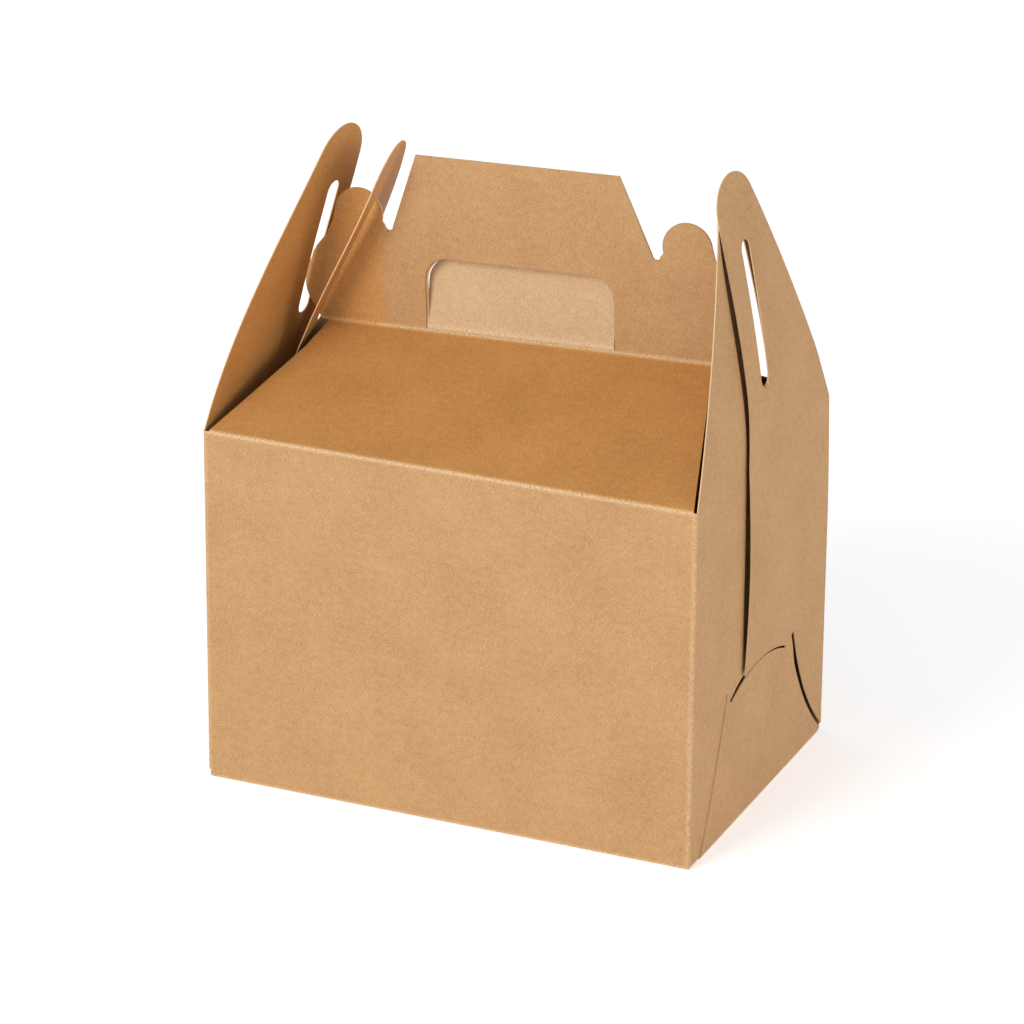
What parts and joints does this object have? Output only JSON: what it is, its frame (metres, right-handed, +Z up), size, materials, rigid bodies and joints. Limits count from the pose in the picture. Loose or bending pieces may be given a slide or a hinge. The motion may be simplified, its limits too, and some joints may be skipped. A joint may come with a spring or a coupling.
{
  "type": "gable box",
  "caption": "Folded kraft paperboard carry box with a gabled lid, an upright handle with a hand hole, and slotted end tongues.",
  "frame": {"origin": "centre of the bounding box at the bottom, on the surface that the box stands on", "axes": "+Z up, -Y towards the front wall, +X towards the end whose tongues both stand open"},
  "size_m": [0.2306, 0.156, 0.2819],
  "materials": {
    "kraft_board": "uncoated brown kraft board, matte"
  },
  "bodies": {
    "box": {"carton": "kraft_board"},
    "right_outer": {"right_outer_tongue": "kraft_board"},
    "right_inner": {"right_inner_tongue": "kraft_board"},
    "left_outer": {"left_outer_tongue": "kraft_board"},
    "front_flap": {"front_hand_flap": "kraft_board"},
    "back_flap": {"back_hand_flap": "kraft_board"}
  },
  "joints": [
    {"name": "right_outer_fold", "type": "hinge", "parent": "box", "child": "right_outer", "pos_m": [0.11305, 0, 0.16175], "axis": [0, -1, 0], "range_deg": [-15, 6]},
    {"name": "right_inner_fold", "type": "hinge", "parent": "box", "child": "right_inner", "pos_m": [0.11145, -0.07775, 0.16175], "axis": [0.061, -0.9981, 0], "range_deg": [-15, 6]},
    {"name": "left_outer_fold", "type": "hinge", "parent": "box", "child": "left_outer", "pos_m": [-0.11305, 0, 0.16175], "axis": [0, 1, 0], "range_deg": [-20, 2.5]},
    {"name": "front_hand_fold", "type": "hinge", "parent": "box", "child": "front_flap", "pos_m": [0, -0.0004, 0.1952], "axis": [-1, 0, 0], "range_deg": [-9, 78]},
    {"name": "back_hand_fold", "type": "hinge", "parent": "box", "child": "back_flap", "pos_m": [0, 0.0004, 0.194], "axis": [-1, 0, 0], "range_deg": [-9, 78]}
  ],
  "couplings": [
    {"joint": "right_inner_fold", "follows": "right_outer_fold", "ratio": 1},
    {"joint": "back_hand_fold", "follows": "front_hand_fold", "ratio": 1}
  ]
}
